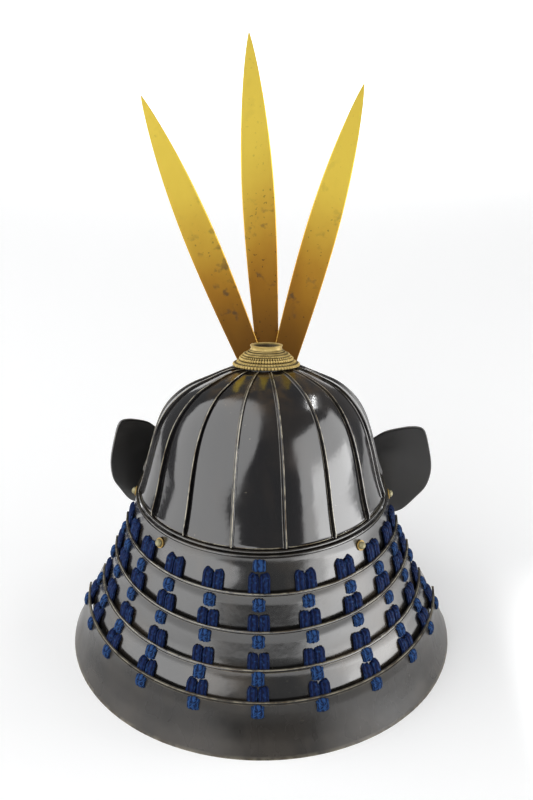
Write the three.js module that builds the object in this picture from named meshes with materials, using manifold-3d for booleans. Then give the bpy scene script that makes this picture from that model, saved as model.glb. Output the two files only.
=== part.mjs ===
// A samurai helmet: a ribbed sixteen-plate iron bowl with a laced neck guard and a three-bladed gilded crest.
// Millimetres, +Z up. The wearer looks towards -Y and the wearer's left is +X.
// All heights are measured from the plane of the bowl's lower edge. The last lines move the helmet so that
// the hem of the neck guard stands on Z = 0, with the middle of its footprint at the origin.
import * as THREE from "three";
import { mergeVertices } from "three/addons/utils/BufferGeometryUtils.js";
import Module from "manifold-3d";

const wasm = await Module();
wasm.setup();

// Driving dimensions of the bowl
const plateCount = 16;
const bowlHalfWidth = 104;
const bowlHalfLength = 111;
const bowlCentre = -2; // the plan of the bowl reaches further to the front than to the back
const plateThickness = 1.5;
const ribHeight = 3.4;
const ribTaper = 0.3; // height of a rib at the crown, as a part of its height at the lower edge
const ribThickness = 1.3;
const gap = 0.3; // clearance between neighbouring pieces
const crownSlope = 0.68; // how much the upper half of the bowl rises towards the back
const crownSlopeTowards = -8; // angle of the side on which it is highest
const crownShift = -3; // the crown of this hand-made bowl leans to the wearer's right
const apexShift = 1.5 * crownShift; // where the profiles would meet, above the open crown
// Rise of the bowl: its radius as a fraction of the lower edge, and the height there.
const bowlProfile = [
  { radius: 1.0, height: 0.8 },
  { radius: 0.95, height: 17 },
  { radius: 0.887, height: 43.5 },
  { radius: 0.822, height: 63.5 },
  { radius: 0.735, height: 78.5 },
  { radius: 0.605, height: 91.5 },
  { radius: 0.45, height: 100.2 },
  { radius: 0.29, height: 107.8 },
  { radius: 0.19, height: 109.4 },
];

// Driving dimensions of the waist band, which carries the bowl, the neck guard and the peak
const bandHeight = 18;
const bandThickness = 1.6;
const lipHeight = 2;
const lipReach = 2.4;
const bandInset = 0.4; // from the foot of the plates in to the band's outer face

// Driving dimensions of the neck guard
// Each row is the upper edge of one lame: half width, reach to the back, and its height at the side and rear.
const rims = [
  { width: 107.4, reach: 112.0, side: -3.2, rear: -3.2 },
  { width: 116.8, reach: 127.2, side: -25.6, rear: -28.6 },
  { width: 127.1, reach: 138.9, side: -49.3, rear: -55.6 },
  { width: 139.1, reach: 150.7, side: -77.8, rear: -82.7 },
  { width: 152.6, reach: 165.2, side: -96.9, rear: -102.3 },
  { width: 167.5, reach: 184.2, side: -142.3, rear: -142.3 }, // hem of the lowest lame
];
const lameThickness = 1.6;
const lameSpacing = 3.6; // free space between two lames, in which the lacing runs
const lameLap = 12; // how far a lame reaches down behind the next one
const lowestLameHollow = 2; // depth of the curve of the lowest lame
const lameEndTop = 88; // degrees from the back to the end of a lame, at its upper edge
const lameEndBottom = 95;
const facetMargin = 1; // flat part of a lame on both sides of a column of lacing

// Driving dimensions of the lacing
const columnPlaces = [17.6, 35.2, 52.3, 67.8, 82]; // degrees from the back, each side of the middle column
const laceThickness = 2.6;
const laceClearance = 0.5;
const pairWidth = 15.4; // two strands side by side
const knotWidth = 9.4;
const knotHeight = 9;
const knotNarrowing = 2; // a cord is narrower in its slot than in its knot
const laceBite = 1; // how far the cord in a slot reaches into the cord on both sides
// For each lame: how far its pair of strands rises over the next lame, and how deep its knot lies.
const lacing = [
  { pairRise: 12, knotDepth: 0 },
  { pairRise: 10.6, knotDepth: 9 },
  { pairRise: 10.5, knotDepth: 8 },
  { pairRise: 8, knotDepth: 6.2 },
  { pairRise: 0, knotDepth: 6.8 },
];
const slotClearance = 0.4; // on each side of a cord in its slot
const slotOvercut = 2; // how far a slot is cut past both faces of a lame
const tieDrop = 7.4; // the single tie on the first lame, below its upper edge
const tieWidth = 11;
const tieHeight = 7;

// Driving dimensions of the turned-back wings, which are the front ends of the first lame
const wingStart = 98; // degrees from the back to where the lame leaves its curve
const foldRadius = 2.5;
const wingLean = 0.25; // how far a wing leans in over the bowl for each millimetre of height
const wings = [
  { side: 1, turn: 42, reach: 49.5, lift: 4.5 },
  { side: -1, turn: 22, reach: 56.3, lift: -4.5 },
];
// The lame's run to the fold: its angle, how far it has left its curve, and the heights of its two edges.
const wingRun = [
  { angle: 106, standOff: 1.2, top: -3.2, bottom: -39 },
  { angle: 112, standOff: 2.7, top: -3.2, bottom: -42 },
  { angle: 116.5, standOff: 3.7, top: 2, bottom: -46 },
  { angle: 121, standOff: 4.1, top: 17, bottom: -51 },
];
// Outline of a wing: distance out from the fold as a fraction, and the heights of its two edges.
const wingOutline = [
  { out: 0.05, top: 20, bottom: -55 },
  { out: 0.3, top: 30, bottom: -48.5 },
  { out: 0.6, top: 37, bottom: -32 },
  { out: 0.8, top: 40.3, bottom: -19.5 },
  { out: 0.93, top: 40.6, bottom: -5 },
  { out: 0.985, top: 38, bottom: 8 },
  { out: 1.0, top: 32.5, bottom: 24 },
];

// Driving dimensions of the crown fitting: rings stacked on the open crown
const crownHeight = 111.2;
const crownTilt = 12; // degrees
const crownHole = 8.5;
const crownRings = [
  { name: "crown_petal_ring", bore: 17, foot: 27.8, head: 26.4, from: 0, to: 4.4 },
  { name: "crown_bead_ring", bore: 15, foot: 21.6, head: 20.6, from: 4.7, to: 8.2 },
  { name: "crown_step_ring", bore: 12, foot: 18.4, head: 15.6, from: 8.5, to: 11.6 },
  { name: "crown_collar", bore: crownHole, foot: 14.6, head: 13.4, from: 11.9, to: 17 },
];
const ringSides = 18;

// Driving dimensions of the rivets
const rivetPlaces = [
  { angle: 45.8, height: -12.6 },
  { angle: 91, height: -8.6 },
];
const washerRadius = 4.2;
const domeRadius = 3.5;
const domeHeight = 3.2;
const shankRadius = 1.6;
const rivetSides = 8;
const holeOvercut = 8; // how much longer a rivet's hole is cut than the walls are thick

// Driving dimensions of the peak and the crest
const peakHalfAngle = 53; // degrees each side of the front
const peakReach = 44;
const peakEndReach = 9;
const peakDrop = 16;
const peakEndDrop = 6;
const peakFlange = 10;
const bladeThickness = 2;
const bladeWidth = 29;
const bladeShoulder = 150; // distance from a blade's tip to its widest place
const crestRoot = { x: -5.8, z: 20 }; // where the three axes meet
const crestLean = 3.4; // degrees, the crest stands askew in its holder
const crestSpread = 17.8; // degrees between neighbouring blades
const bladeTang = 14; // length of a blade that goes down into the holder
const blades = [
  { name: "crest_blade_left", turn: 1, length: 310 },
  { name: "crest_blade_centre", turn: 0, length: 342 },
  { name: "crest_blade_right", turn: -1, length: 310 },
];
const holderHeight = 26;
const holderHalfWidth = 19;
const holderWall = 1.5;
const holderFoot = -lipHeight - peakFlange; // on the root of the brim
const holderFloor = 3;

const blackIron = new THREE.MeshStandardMaterial({ color: 0x1d1b1d, roughness: 0.35, metalness: 0.6 });
const wornGilt = new THREE.MeshStandardMaterial({ color: 0xc9962b, roughness: 0.4, metalness: 0.9 });
const oldBrass = new THREE.MeshStandardMaterial({ color: 0x8a7440, roughness: 0.5, metalness: 0.8 });
const blueSilk = new THREE.MeshStandardMaterial({ color: 0x17305f, roughness: 0.8, metalness: 0 });

const radians = THREE.MathUtils.degToRad;
const lerp = THREE.MathUtils.lerp;
const helmet = new THREE.Group();
helmet.name = "samurai_helmet";

// Angles are measured from the back of the helmet (+Y) towards the wearer's left (+X).
function polar(angle, radius, height) {
  const a = radians(angle);
  return new THREE.Vector3(radius * Math.sin(a), radius * Math.cos(a), height);
}

// Radius at an angle of an ellipse with its middle on the axis.
function ellipseRadius(angle, width, reach) {
  const a = radians(angle);
  return 1 / Math.hypot(Math.sin(a) / width, Math.cos(a) / reach);
}

// A closed solid through a row of sections with the same number of corners; each is a list of Vector3.
// A ring that comes back to its first section has no end faces.
function loft(sections, { ring = false } = {}) {
  const corners = sections[0].length;
  const positions = sections.flat().flatMap((p) => [p.x, p.y, p.z]);
  const faces = [];
  const rows = ring ? sections.length : sections.length - 1;
  for (let i = 0; i < rows; i++) {
    const j = (i + 1) % sections.length;
    for (let k = 0; k < corners; k++) {
      const l = (k + 1) % corners;
      const [a, b, c, d] = [i * corners + k, i * corners + l, j * corners + l, j * corners + k];
      faces.push(a, b, c, a, c, d);
    }
  }
  if (!ring) {
    const last = (sections.length - 1) * corners;
    for (const [a, b, c] of capTriangles(sections[0])) faces.push(c, b, a);
    for (const [a, b, c] of capTriangles(sections.at(-1))) faces.push(last + a, last + b, last + c);
  }
  const geometry = new THREE.BufferGeometry();
  geometry.setAttribute("position", new THREE.Float32BufferAttribute(positions, 3));
  geometry.setIndex(faces);
  return facingOut(geometry);
}

// Triangles of an end face, found in the plane that fits its corners.
function capTriangles(section) {
  const normal = new THREE.Vector3();
  section.forEach((p, i) => {
    const q = section[(i + 1) % section.length];
    normal.add(p.clone().cross(q));
  });
  normal.normalize();
  const across = section[1].clone().sub(section[0]).normalize();
  const up = normal.clone().cross(across);
  const flat = section.map((p) => new THREE.Vector2(p.dot(across), p.dot(up)));
  return THREE.ShapeUtils.triangulateShape(flat, []);
}

// Turns the faces of a closed geometry round if they point inwards.
function facingOut(geometry) {
  const p = geometry.getAttribute("position");
  const index = geometry.getIndex().array;
  const [a, b, c] = [new THREE.Vector3(), new THREE.Vector3(), new THREE.Vector3()];
  let volume = 0;
  for (let i = 0; i < index.length; i += 3) {
    a.fromBufferAttribute(p, index[i]);
    b.fromBufferAttribute(p, index[i + 1]);
    c.fromBufferAttribute(p, index[i + 2]);
    volume += a.dot(b.cross(c));
  }
  if (volume < 0) {
    for (let i = 0; i < index.length; i += 3) [index[i], index[i + 1]] = [index[i + 1], index[i]];
  }
  return geometry;
}

// A geometry as a solid that can be joined and cut.
function solid(geometry) {
  const bare = geometry.clone();
  bare.deleteAttribute("normal");
  bare.deleteAttribute("uv");
  const merged = mergeVertices(bare, 1e-4);
  return new wasm.Manifold(
    new wasm.Mesh({
      numProp: 3,
      vertProperties: merged.attributes.position.array,
      triVerts: new Uint32Array(merged.index.array),
    }),
  );
}

function geometryOf(manifold) {
  const mesh = manifold.getMesh();
  const geometry = new THREE.BufferGeometry();
  geometry.setAttribute("position", new THREE.BufferAttribute(mesh.vertProperties, 3));
  geometry.setIndex(new THREE.BufferAttribute(mesh.triVerts, 1));
  return geometry;
}

function cut(geometry, tools) {
  return geometryOf(tools.reduce((left, tool) => left.subtract(solid(tool)), solid(geometry)));
}

function join(pieces) {
  return geometryOf(pieces.slice(1).reduce((whole, piece) => whole.add(solid(piece)), solid(pieces[0])));
}

function add(name, geometry, material, parent = helmet) {
  const mesh = new THREE.Mesh(geometry, material);
  mesh.name = name;
  parent.add(mesh);
  return mesh;
}

// Bowl

const bowlCurve = new THREE.SplineCurve(
  bowlProfile.map(({ radius, height }) => new THREE.Vector2(radius, height / bowlHalfWidth)),
);

// Radius of the bowl's lower edge at an angle.
function bowlRadius(angle) {
  const a = radians(angle);
  const [x, y] = [Math.sin(a) / bowlHalfWidth, Math.cos(a) / bowlHalfLength];
  const middle = bowlCentre / bowlHalfLength;
  const [square, half, rest] = [x * x + y * y, y * middle, middle * middle - 1];
  return (half + Math.sqrt(half * half - square * rest)) / square;
}

// A place on the bowl: rise runs from 0 at the lower edge to 1 at the crown, out is square to the surface.
function onBowl(angle, rise, out = 0) {
  const at = bowlCurve.getPoint(rise);
  const along = bowlCurve.getTangent(rise);
  const radius = bowlRadius(angle);
  const place = polar(angle, radius * at.x + out * along.y, bowlHalfWidth * at.y - out * along.x);
  const tilt = crownSlope * at.x * at.x * (1 - at.x) * (2 - at.x);
  place.z += tilt * radius * Math.cos(radians(angle - crownSlopeTowards));
  place.x += apexShift * (1 - at.x) * (1 - at.x);
  return place;
}

// One gore of the bowl; its left edge stands up as a rib that grows lower towards the crown.
function plate(number) {
  const rises = [0, 0.16, 0.32, 0.46, 0.59, 0.72, 0.86, 1];
  const pitch = 360 / plateCount;
  const [left, right] = [(number - 0.5) * pitch, (number + 0.5) * pitch];
  return loft(
    rises.map((rise) => {
      const radius = bowlRadius(left) * bowlCurve.getPoint(rise).x;
      const perMillimetre = 180 / (Math.PI * radius);
      const start = left + (gap / 2) * perMillimetre;
      const end = right - (gap / 2) * perMillimetre;
      const ribEnd = start + ribThickness * perMillimetre;
      const tall = ribHeight * lerp(1, ribTaper, rise);
      return [
        onBowl(start, rise, tall),
        onBowl(ribEnd, rise, tall),
        onBowl(ribEnd, rise, 0),
        onBowl((ribEnd + end) / 2, rise, 0),
        onBowl(end, rise, 0),
        onBowl(end, rise, -plateThickness),
        onBowl((start + end) / 2, rise, -plateThickness),
        onBowl(start, rise, -plateThickness),
      ];
    }),
  );
}

for (let number = 0; number < plateCount; number++) {
  add("bowl_plate_" + String(number + 1).padStart(2, "0"), plate(number), blackIron);
}

// Waist band: an upright ring inside the neck guard, with a lip under the plates

function bandRadius(angle) {
  return bowlRadius(angle) - bandInset;
}

function waistBand() {
  const sections = [];
  for (let angle = 0; angle < 360; angle += 15) {
    const outer = bandRadius(angle);
    const inner = outer - bandThickness;
    const lip = bowlRadius(angle) + lipReach;
    sections.push([
      polar(angle, inner, 0),
      polar(angle, lip, 0),
      polar(angle, lip, -lipHeight),
      polar(angle, outer, -lipHeight),
      polar(angle, outer, -bandHeight),
      polar(angle, inner, -bandHeight),
    ]);
  }
  return loft(sections, { ring: true });
}

// Neck guard

// Height of the upper edge of a lame at an angle.
function rimHeight(lame, angle) {
  const { side, rear } = rims[lame];
  const back = Math.max(0, Math.cos(radians(angle)));
  return lerp(side, rear, back * back);
}

function rimRadius(lame, angle) {
  return ellipseRadius(angle, rims[lame].width, rims[lame].reach);
}

// Radius of a lame's outer face at an angle and a height.
function lameRadius(lame, angle, height) {
  const top = rimHeight(lame, angle);
  const next = rimHeight(lame + 1, angle);
  const fall = (top - height) / (top - next);
  const lowest = lame === 4;
  if (lowest) {
    const hollow = lowestLameHollow * (1 - Math.abs(2 * fall - 1));
    return lerp(rimRadius(4, angle), rimRadius(5, angle), fall) - hollow;
  }
  if (fall > 1) return lameRadius(lame + 1, angle, height) - lameThickness - lameSpacing;
  return lerp(rimRadius(lame, angle), rimRadius(lame + 1, angle) - lameThickness - lameSpacing, fall);
}

// Places on a lame's outer face at an angle, from its upper to its lower edge.
function lameLine(lame, angle) {
  const top = rimHeight(lame, angle);
  const next = rimHeight(lame + 1, angle);
  const heights = lame === 4 ? [top, lerp(top, next, 0.5), next] : [top, next, next - lameLap];
  return heights.map((height) => ({ radius: lameRadius(lame, angle, height), height }));
}

// A section of a lame's wall: down its outer face and up its inner one, each level at its own angle.
function lameSection(lame, angles) {
  const outer = angles.map((angle, level) => ({ angle, ...lameLine(lame, angle)[level] }));
  const inner = outer.map((p) => ({ ...p, radius: p.radius - lameThickness })).reverse();
  return [...outer, ...inner].map((p) => polar(p.angle, p.radius, p.height));
}

// The angles at which a lame has its sections: one flat facet for each column of lacing, and one between.
function facetAngles(lame) {
  return columnAngles.flatMap((angle) => {
    const half = THREE.MathUtils.radToDeg((pairWidth / 2 + facetMargin) / rimRadius(lame, angle));
    return [angle - half, angle + half];
  });
}

// A block that follows a lame's face, between two distances from its outer face.
function blockOnLame(lame, { angle, width, top, bottom, from, to }) {
  const half = THREE.MathUtils.radToDeg(width / 2 / lameRadius(lame, angle, top));
  return loft(
    [-half, half].map((turn) => {
      const place = (height, out) => polar(angle + turn, lameRadius(lame, angle, height) + out, height);
      const skew = rimSkew(lame, angle, angle + turn);
      const at = (height, out) => place(height, out).add(polar(angle + turn, skew, 0));
      return [at(top, from), at(top, to), at(bottom, to), at(bottom, from)];
    }),
  );
}

// Difference in radius of a lame between two angles, so that a block can follow its plan.
function rimSkew(lame, angle, other) {
  return rimRadius(lame, other) - rimRadius(lame, angle);
}

const columnAngles = [...columnPlaces.map((angle) => -angle).reverse(), 0, ...columnPlaces];

// Height of the top of the pair of strands on a lame, and of the middle of its knot.
function pairTop(lame, angle) {
  return rimHeight(lame + 1, angle) + lacing[lame].pairRise;
}

function knotMiddle(lame, angle) {
  return rimHeight(lame, angle) - lacing[lame].knotDepth;
}

// Height of the middle of the slot from which the pair of strands comes out.
function pairSlot(lame, angle) {
  return pairTop(lame, angle) - laceThickness / 2;
}

// The slots that one column of lacing needs in a lame.
function slots(lame, angle) {
  const slot = (middle, width) =>
    blockOnLame(lame, {
      angle,
      width: width + 2 * slotClearance,
      top: middle + laceThickness / 2 + slotClearance,
      bottom: middle - laceThickness / 2 - slotClearance,
      from: -lameThickness - slotOvercut,
      to: slotOvercut,
    });
  const made = [];
  if (lame < 4) made.push(slot(pairSlot(lame, angle), pairWidth));
  if (lame > 0) made.push(slot(knotMiddle(lame, angle), knotWidth - knotNarrowing));
  return made;
}

// Front end of the first lame: it leaves its curve, runs forward, folds outward and ends in a flat wing.
// Each section has the lame's three levels, and the wall's thickness is laid off square to the path.
function wingSections({ side, turn, reach, lift }) {
  const sections = [];
  const section = ({ x, y }, heading, top, bottom) => {
    const levels = [top, (top + bottom) / 2, bottom];
    const wall = (offset, height) => {
      const lean = wingLean * (height - rims[0].side);
      const across = x + offset * Math.cos(heading) - lean;
      return new THREE.Vector3(side * across, y + offset * Math.sin(heading), height);
    };
    sections.push([
      ...levels.map((height) => wall(0, height)),
      ...levels.reverse().map((height) => wall(-lameThickness, height)),
    ]);
  };
  for (const { angle, standOff, top, bottom } of wingRun) {
    const place = polar(angle, rimRadius(0, angle) + standOff, 0);
    section(place, radians(90 - angle), top, bottom);
  }
  const { angle, standOff, top, bottom } = wingRun.at(-1);
  const before = radians(90 - angle);
  const after = radians(90 + turn);
  const centre = polar(angle, rimRadius(0, angle) + standOff + foldRadius, 0);
  const onFold = (heading) => ({
    x: centre.x - foldRadius * Math.cos(heading),
    y: centre.y - foldRadius * Math.sin(heading),
  });
  for (const part of [0.25, 0.5, 0.75, 1]) {
    const heading = lerp(before, after, part);
    section(onFold(heading), heading, top + lift * part, bottom + lift * part);
  }
  const fold = onFold(after);
  for (const { out, top: high, bottom: low } of wingOutline) {
    const run = out * reach;
    const place = { x: fold.x + run * Math.sin(after), y: fold.y - run * Math.cos(after) };
    section(place, after, high + lift, low + lift);
  }
  return sections;
}

function firstLame() {
  const angles = [-wingStart, ...facetAngles(0), wingStart];
  const middle = angles.map((angle) => lameSection(0, [angle, angle, angle]));
  const left = wingSections(wings[0]);
  const right = wingSections(wings[1]).reverse();
  return loft([...right, ...middle, ...left]);
}

// The ends of the lower lames slope, so that the lower edge reaches further forward.
function lowerLame(lame) {
  const end = [lameEndTop, (lameEndTop + lameEndBottom) / 2, lameEndBottom];
  const start = end.map((angle) => -angle);
  const angles = [start, ...facetAngles(lame).map((angle) => [angle, angle, angle]), end];
  return loft(angles.map((levels) => lameSection(lame, levels)));
}

// Rivets through the first lame and the waist band, and the holes for them

function rivetAxis({ angle, height }, side) {
  const angleHere = angle * side;
  const frame = new THREE.Group();
  const face = lameRadius(0, angleHere, height);
  const flare = lameRadius(0, angleHere, height - 1) - face;
  frame.position.copy(polar(angleHere, face, height));
  frame.lookAt(polar(angleHere, face + 1, height + flare));
  return { frame, depth: face - bandRadius(angleHere) + bandThickness };
}

// The rivet's profile turned about its axis, with the washer's foot at the lame's face.
function rivet(depth) {
  const foot = 0.7;
  const washer = 0.8;
  const clinch = 1.2;
  const clinchRadius = shankRadius + 1.2;
  const slack = 1.5; // the clinched end stands square to the shank, and the band is upright
  const profile = [
    [0, -depth - slack - clinch],
    [clinchRadius, -depth - slack - clinch],
    [clinchRadius, -depth - slack],
    [shankRadius, -depth - slack],
    [shankRadius, foot],
    [washerRadius, foot],
    [washerRadius, foot + washer],
    [domeRadius, foot + washer],
    [domeRadius * 0.8, foot + washer + domeHeight * 0.65],
    [0, foot + washer + domeHeight],
  ].map(([radius, z]) => new THREE.Vector2(radius, z));
  return new THREE.LatheGeometry(profile, rivetSides).rotateX(Math.PI / 2);
}

function rivetHole(frame, depth) {
  const bore = shankRadius + 2 * gap;
  const hole = new THREE.CylinderGeometry(bore, bore, depth + holeOvercut, rivetSides);
  hole.rotateX(Math.PI / 2).translate(0, 0, -depth / 2);
  frame.updateMatrixWorld();
  return hole.applyMatrix4(frame.matrixWorld);
}

const rivets = rivetPlaces.flatMap((place) => [1, -1].map((side) => rivetAxis(place, side)));
const rivetHoles = rivets.map(({ frame, depth }) => rivetHole(frame, depth));
rivets.forEach(({ frame, depth }, i) => {
  add("rivet_" + (i + 1), rivet(depth), oldBrass, frame);
  helmet.add(frame);
});

add("waist_band", cut(waistBand(), rivetHoles), blackIron);

const tieMiddle = rimHeight(0, 0) - tieDrop;
const tieSlot = blockOnLame(0, {
  angle: 0,
  width: tieWidth - knotNarrowing + 2 * slotClearance,
  top: tieMiddle + laceThickness / 2 + slotClearance,
  bottom: tieMiddle - laceThickness / 2 - slotClearance,
  from: -lameThickness - slotOvercut,
  to: slotOvercut,
});

for (let lame = 0; lame < 5; lame++) {
  const shell = lame === 0 ? firstLame() : lowerLame(lame);
  const openings = columnAngles.flatMap((angle) => slots(lame, angle));
  if (lame === 0) openings.push(tieSlot, ...rivetHoles);
  add("neck_lame_" + (lame + 1), cut(shell, openings), blackIron);
}

// Lacing: each column is one cord that comes out through a lame, runs down behind the next one,
// shows a knot through it and comes out again lower down.

// The middle line of a cord in the upright plane at its angle.
function cordPath(angle) {
  const half = laceThickness / 2;
  const outside = (lame, height) => ({
    radius: lameRadius(lame, angle, height) + laceClearance + half,
    height,
  });
  const inside = (lame, height) => ({
    radius: lameRadius(lame, angle, height) - lameThickness - laceClearance - half,
    height,
  });
  const first = outside(0, pairSlot(0, angle));
  const throughLame = laceThickness + 2 * laceClearance + lameThickness + laceBite;
  const path = [{ ...first, radius: first.radius - throughLame }];
  for (let lame = 0; lame < 4; lame++) {
    path.push(outside(lame, pairSlot(lame, angle)));
    path.push(inside(lame + 1, rimHeight(lame + 1, angle)));
    if (lame < 3) path.push(inside(lame + 1, pairSlot(lame + 1, angle)));
  }
  path.push(inside(4, knotMiddle(4, angle) - laceThickness));
  return path;
}

// A flat cord along a path, as wide as a pair of strands, with mitred bends.
function cord(path, angle) {
  const points = path.map(({ radius, height }) => new THREE.Vector2(radius, height));
  const normals = points.slice(1).map((p, i) => {
    const along = p.clone().sub(points[i]).normalize();
    return new THREE.Vector2(along.y, -along.x);
  });
  const turn = THREE.MathUtils.radToDeg(pairWidth / 2 / points.at(-1).x);
  return loft(
    points.map((p, i) => {
      const before = normals[Math.max(0, i - 1)];
      const after = normals[Math.min(normals.length - 1, i)];
      const mitre = before.clone().add(after).normalize();
      mitre.multiplyScalar(laceThickness / 2 / mitre.dot(before));
      const half = (turn * points.at(-1).x) / p.x;
      const corner = (side, sign) => {
        const radius = p.x + sign * mitre.x + rimSkew(2, angle, angle + side);
        return polar(angle + side, radius, p.y + sign * mitre.y);
      };
      return [corner(-half, -1), corner(-half, 1), corner(half, 1), corner(half, -1)];
    }),
  );
}

// The piece of a cord inside a slot, from the run inside to what shows outside.
function neck(lame, angle, middle, width) {
  return blockOnLame(lame, {
    angle,
    width,
    top: middle + laceThickness / 2,
    bottom: middle - laceThickness / 2,
    from: -lameThickness - laceClearance - laceBite,
    to: laceClearance + laceBite,
  });
}

// A flat pad of cord on a lame: outside as a knot, or inside as the end of the cord.
function pad(lame, angle, middle, width, height, inside = false) {
  const from = inside ? -lameThickness - laceClearance - laceThickness / 2 : laceClearance;
  return blockOnLame(lame, {
    angle,
    width,
    top: middle + height / 2,
    bottom: middle - height / 2,
    from,
    to: inside ? -lameThickness - laceClearance : laceClearance + laceThickness,
  });
}

function laceColumn(angle) {
  const pieces = [cord(cordPath(angle), angle)];
  for (let lame = 1; lame < 5; lame++) {
    const middle = knotMiddle(lame, angle);
    pieces.push(pad(lame, angle, middle, knotWidth, knotHeight));
    pieces.push(neck(lame, angle, middle, knotWidth - knotNarrowing));
  }
  return join(pieces);
}

columnAngles.forEach((angle, i) => {
  add("lace_" + String(i + 1).padStart(2, "0"), laceColumn(angle), blueSilk);
});

const tie = join([
  pad(0, 0, tieMiddle, tieWidth, tieHeight),
  neck(0, 0, tieMiddle, tieWidth - knotNarrowing),
  pad(0, 0, tieMiddle, tieWidth, laceThickness + 2, true),
]);
add("lace_tie", tie, blueSilk);

// Crown fitting: four rings about a tilted axis, with a hole right through

const crown = new THREE.Group();
crown.position.set(crownShift, 0, crownHeight);
crown.rotation.x = radians(crownTilt);
helmet.add(crown);
for (const { name, bore, foot, head, from, to } of crownRings) {
  const profile = [
    [bore, from],
    [foot, from],
    [head, to],
    [bore, to],
    [bore, from],
  ].map(([radius, height]) => new THREE.Vector2(radius, height));
  const ring = new THREE.LatheGeometry(profile, ringSides).rotateX(Math.PI / 2);
  add(name, ring, oldBrass, crown);
}

// Peak over the brow: a flange against the waist band and a brim that falls away to the front

function peak() {
  const sections = [];
  const steps = 12;
  for (let i = 0; i <= steps; i++) {
    const turn = lerp(-1, 1, i / steps);
    const angle = 180 + peakHalfAngle * turn;
    const reach = lerp(peakReach, peakEndReach, turn * turn);
    const drop = lerp(peakDrop, peakEndDrop, turn * turn);
    const root = bandRadius(angle) + 2 * gap;
    const top = -lipHeight - gap;
    sections.push([
      polar(angle, root, top),
      polar(angle, root + lameThickness, top),
      polar(angle, root + lameThickness, top - peakFlange),
      polar(angle, root + lameThickness + reach, top - peakFlange - drop),
      polar(angle, root + reach, top - peakFlange - drop - lameThickness),
      polar(angle, root, top - peakFlange - lameThickness),
    ]);
  }
  return loft(sections);
}

add("peak", peak(), blackIron);

// Crest: three leaf-shaped blades pushed into a plain sleeve that stands on the peak

// Half the width of a blade at a distance from its tip.
function bladeHalfWidth(fromTip) {
  const u = fromTip / bladeShoulder;
  if (u < 1) return (bladeWidth / 2) * Math.sin((Math.PI / 2) * Math.pow(u, 0.8));
  return (bladeWidth / 2) * (0.8 + 0.2 * Math.cos(Math.PI * 0.7 * (u - 1)));
}

// The outline of a blade that points up from the origin, with a short tang below it.
function bladeShape(length) {
  const steps = 9;
  const right = [];
  for (let i = 1; i <= steps; i++) {
    const fromTip = length * Math.pow(i / steps, 1.5);
    right.push(new THREE.Vector2(bladeHalfWidth(fromTip), length - fromTip));
  }
  right.push(new THREE.Vector2(bladeHalfWidth(length), -bladeTang));
  const left = right.map((p) => new THREE.Vector2(-p.x, p.y)).reverse();
  return new THREE.Shape([new THREE.Vector2(0, length), ...right, ...left]);
}

// The blade as a plate in the XZ plane, between its back face and one thickness in front of it.
function blade({ turn, length }, back) {
  const plateOf = new THREE.ExtrudeGeometry(bladeShape(length), {
    depth: bladeThickness,
    bevelEnabled: false,
  });
  plateOf.rotateX(Math.PI / 2).translate(0, back, 0);
  plateOf.rotateY(radians(turn * crestSpread));
  return plateOf;
}

// The sleeve stands against the lip of the waist band, and the crest inside it.
const holderBack = -bowlRadius(180) - lipReach - gap;
const crestBack = holderBack - holderWall - gap;

const crest = new THREE.Group();
crest.position.set(crestRoot.x, 0, crestRoot.z);
crest.rotation.y = radians(crestLean);
helmet.add(crest);
const farSide = 200;
for (const each of blades) {
  const layer = each.turn === 0 ? crestBack - bladeThickness - gap : crestBack;
  let geometry = blade(each, layer);
  if (each.turn !== 0) {
    // The roots of the two side blades are mitred so that they meet along the middle.
    const other = new THREE.BoxGeometry(farSide, farSide, farSide);
    other.translate(-each.turn * (farSide / 2 - gap / 2), crestBack, 0);
    geometry = cut(geometry, [other]);
  }
  add(each.name, geometry, wornGilt, crest);
}

function crestHolder() {
  const front = crestBack - 2 * bladeThickness - 2 * gap - holderWall;
  const back = holderBack;
  const depth = back - front;
  const middle = (front + back) / 2;
  const outer = new THREE.BoxGeometry(2 * holderHalfWidth, depth, holderHeight - holderFoot);
  outer.translate(crestRoot.x, middle, (holderHeight + holderFoot) / 2);
  const inner = new THREE.BoxGeometry(
    2 * (holderHalfWidth - holderWall),
    depth - 2 * holderWall,
    holderHeight - holderFoot,
  );
  inner.translate(crestRoot.x, middle, (holderHeight + holderFoot) / 2 + holderFloor);
  return cut(outer, [inner]);
}

add("crest_holder", crestHolder(), blackIron);

// Stand the helmet on its hem with the origin in the middle of its footprint
const extent = new THREE.Box3().setFromObject(helmet, true);
const middle = extent.getCenter(new THREE.Vector3());
helmet.position.set(-middle.x, -middle.y, -extent.min.z);

export default helmet;
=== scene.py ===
# %% [markdown]
# # A samurai helmet, from behind and above
# The real object is a bowl of sixteen lacquered iron plates, a neck guard of five curved lames hung on
# blue silk cords, two small turned-back wings, an open crown fitting of soft brass and a tall gilded crest.
# The solids of the frame give every size. This lesson dresses them: each step says what the piece is,
# how it could be made, and why this way was chosen.

# %% Load the frame
import math

import bmesh
import bpy
from mathutils import Matrix, Vector


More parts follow.
